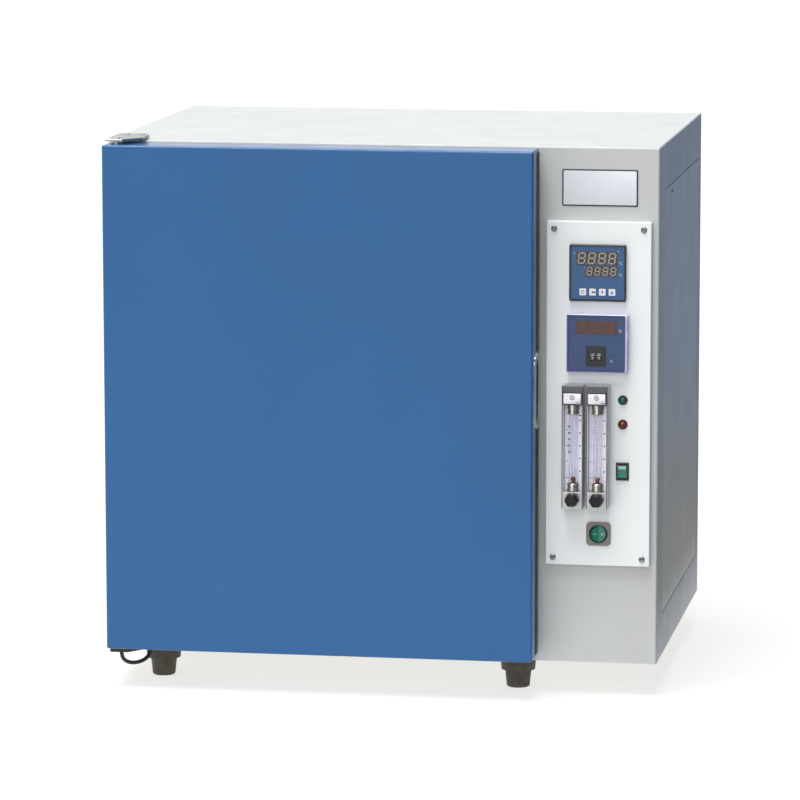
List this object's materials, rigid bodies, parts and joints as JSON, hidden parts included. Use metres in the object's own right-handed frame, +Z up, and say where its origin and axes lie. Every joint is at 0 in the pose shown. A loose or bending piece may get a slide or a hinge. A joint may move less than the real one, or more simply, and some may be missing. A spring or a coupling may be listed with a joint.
{
  "type": "carbon dioxide incubator",
  "caption": "Water-jacketed carbon dioxide incubator: front-door cabinet with a shelved steel chamber, an inner glass door and a control panel with flowmeters.",
  "frame": {"origin": "on the bench, under the middle of the incubator's outline", "axes": "+Z up, +X to the right seen from the front, +Y from the door towards the back"},
  "size_m": [0.73, 0.616, 0.73],
  "materials": {
    "casing_paint": "satin off-white powder coat",
    "pan_paint": "grey powder coat",
    "door_paint": "satin blue powder coat",
    "stainless": "brushed stainless steel",
    "jacket_steel": "plain steel tank",
    "hinge_steel": "zinc-plated steel",
    "foam": "rigid foam",
    "seal_rubber": "soft dark brown rubber",
    "silicone": "soft silicone",
    "foot_rubber": "matte moulded rubber",
    "lead_rubber": "dark brown cable sheath",
    "chrome_plate": "bright plating",
    "pane_glass": "clear toughened glass",
    "screw_steel": "black oxide steel",
    "meter_plastic": "black instrument case",
    "key_plastic": "white keys",
    "wheel_plastic": "black plastic with white figures",
    "case_aluminium": "satin anodised",
    "clear_acrylic": "clear acrylic",
    "float_plastic": "dark red float",
    "knob_plastic": "black moulded knob",
    "green_lens": "green lens",
    "red_lens": "red lens",
    "switch_black": "black moulding",
    "switch_grey": "grey-brown switch plate",
    "rocker_green": "translucent green rocker",
    "motor_metal": "cast casing",
    "fan_metal": "satin aluminium",
    "transformer_core": "varnished core",
    "brass_parts": "plain brass",
    "lever_red": "red dipped lever"
  },
  "bodies": {
    "cabinet": {"outer_casing": "casing_paint", "side_access_panel": "casing_paint", "base_pan": "pan_paint", "rear_cover": "casing_paint", "feet": "foot_rubber", "bay_partition": "pan_paint", "mouth_frame": "stainless", "inner_seal": "silicone", "chamber_liner": "stainless", "water_jacket": "jacket_steel", "jacket_heater": "silicone", "insulation": "foam", "fan_motor": "motor_metal", "duct_cover": "stainless", "sensor_probe": "stainless", "shelf_uprights": "stainless", "shelf_lower": "stainless", "shelf_middle": "stainless", "shelf_upper": "stainless", "water_tray": "stainless", "door_hinges": "hinge_steel", "door_lead": "lead_rubber", "control_panel": "casing_paint", "panel_screws": "screw_steel", "temperature_controller": "meter_plastic", "gas_controller": "meter_plastic", "flowmeter_cases": "case_aluminium", "metering_tubes": "clear_acrylic", "lamp_green": "green_lens", "lamp_red": "red_lens", "rocker_bezel": "switch_black", "main_switch": "switch_grey", "transformer": "transformer_core", "solenoid_valve": "motor_metal", "hose_tails": "brass_parts", "drain_valve": "brass_parts", "mains_inlet": "switch_black"},
    "outer_door": {"door_shell": "door_paint", "door_liner": "casing_paint", "door_foam": "foam", "door_gasket": "seal_rubber", "door_pull": "chrome_plate"},
    "glass_door": {"inner_glass": "pane_glass", "glass_fittings": "stainless"},
    "glass_latch": {"glass_latch": "stainless"},
    "flow_knob_left": {"flow_knob_left": "knob_plastic"},
    "flow_knob_right": {"flow_knob_right": "knob_plastic"},
    "flow_float_left": {"flow_float_left": "float_plastic"},
    "flow_float_right": {"flow_float_right": "float_plastic"},
    "set_key_1": {"set_key_1": "key_plastic"},
    "set_key_2": {"set_key_2": "key_plastic"},
    "set_key_3": {"set_key_3": "key_plastic"},
    "set_key_4": {"set_key_4": "key_plastic"},
    "thumbwheel_tens": {"thumbwheel_tens": "wheel_plastic"},
    "thumbwheel_units": {"thumbwheel_units": "wheel_plastic"},
    "fan_rocker": {"fan_rocker": "rocker_green"},
    "main_rocker": {"main_rocker": "rocker_green"},
    "drain_lever": {"drain_lever": "lever_red"},
    "fan": {"fan_impeller": "fan_metal"}
  },
  "joints": [
    {"name": "outer_door_hinge", "type": "hinge", "parent": "cabinet", "child": "outer_door", "pos_m": [-0.346, -0.281, 0.38875], "axis": [0, 0, -1], "range_deg": [0, 120]},
    {"name": "glass_door_hinge", "type": "hinge", "parent": "cabinet", "child": "glass_door", "pos_m": [-0.2945, -0.2355, 0.38875], "axis": [0, 0, -1], "range_deg": [0, 90]},
    {"name": "glass_latch_turn", "type": "hinge", "parent": "cabinet", "child": "glass_latch", "pos_m": [0.144, -0.238, 0.38875], "axis": [0, -1, 0], "range_deg": [0, 90]},
    {"name": "fan_spin", "type": "hinge", "parent": "cabinet", "child": "fan", "pos_m": [-0.0755, 0.1735, 0.51875], "axis": [0, 1, 0], "continuous": true},
    {"name": "flow_knob_left_turn", "type": "hinge", "parent": "cabinet", "child": "flow_knob_left", "pos_m": [0.257, -0.279, 0.267], "axis": [0, -1, 0], "range_deg": [0, 1440]},
    {"name": "flow_float_left_rise", "type": "slide", "parent": "cabinet", "child": "flow_float_left", "axis": [0, 0, 1], "range_m": [0, 0.0914]},
    {"name": "flow_knob_right_turn", "type": "hinge", "parent": "cabinet", "child": "flow_knob_right", "pos_m": [0.289, -0.279, 0.267], "axis": [0, -1, 0], "range_deg": [0, 1440]},
    {"name": "flow_float_right_rise", "type": "slide", "parent": "cabinet", "child": "flow_float_right", "axis": [0, 0, 1], "range_m": [0, 0.0914]},
    {"name": "set_key_1_press", "type": "slide", "parent": "cabinet", "child": "set_key_1", "axis": [0, 1, 0], "range_m": [0, 0.0008], "stiffness_N_per_m": 400},
    {"name": "set_key_2_press", "type": "slide", "parent": "cabinet", "child": "set_key_2", "axis": [0, 1, 0], "range_m": [0, 0.0008], "stiffness_N_per_m": 400},
    {"name": "set_key_3_press", "type": "slide", "parent": "cabinet", "child": "set_key_3", "axis": [0, 1, 0], "range_m": [0, 0.0008], "stiffness_N_per_m": 400},
    {"name": "set_key_4_press", "type": "slide", "parent": "cabinet", "child": "set_key_4", "axis": [0, 1, 0], "range_m": [0, 0.0008], "stiffness_N_per_m": 400},
    {"name": "thumbwheel_tens_turn", "type": "hinge", "parent": "cabinet", "child": "thumbwheel_tens", "pos_m": [0.2813, -0.2604, 0.4543], "axis": [1, 0, 0], "continuous": true},
    {"name": "thumbwheel_units_turn", "type": "hinge", "parent": "cabinet", "child": "thumbwheel_units", "pos_m": [0.2897, -0.2604, 0.4543], "axis": [1, 0, 0], "continuous": true},
    {"name": "fan_rocker_tip", "type": "hinge", "parent": "cabinet", "child": "fan_rocker", "pos_m": [0.32, -0.255, 0.302], "axis": [-1, 0, 0], "range_deg": [0, 16]},
    {"name": "main_rocker_tip", "type": "hinge", "parent": "cabinet", "child": "main_rocker", "pos_m": [0.289, -0.2555, 0.2185], "axis": [0, 0, -1], "range_deg": [0, 16]},
    {"name": "drain_lever_turn", "type": "hinge", "parent": "cabinet", "child": "drain_lever", "pos_m": [-0.2255, 0.29, 0.12775], "axis": [0, 0, 1], "range_deg": [0, 90]}
  ],
  "couplings": [
    {"joint": "glass_door_hinge", "follows": "outer_door_hinge", "ratio": 0.75}
  ]
}
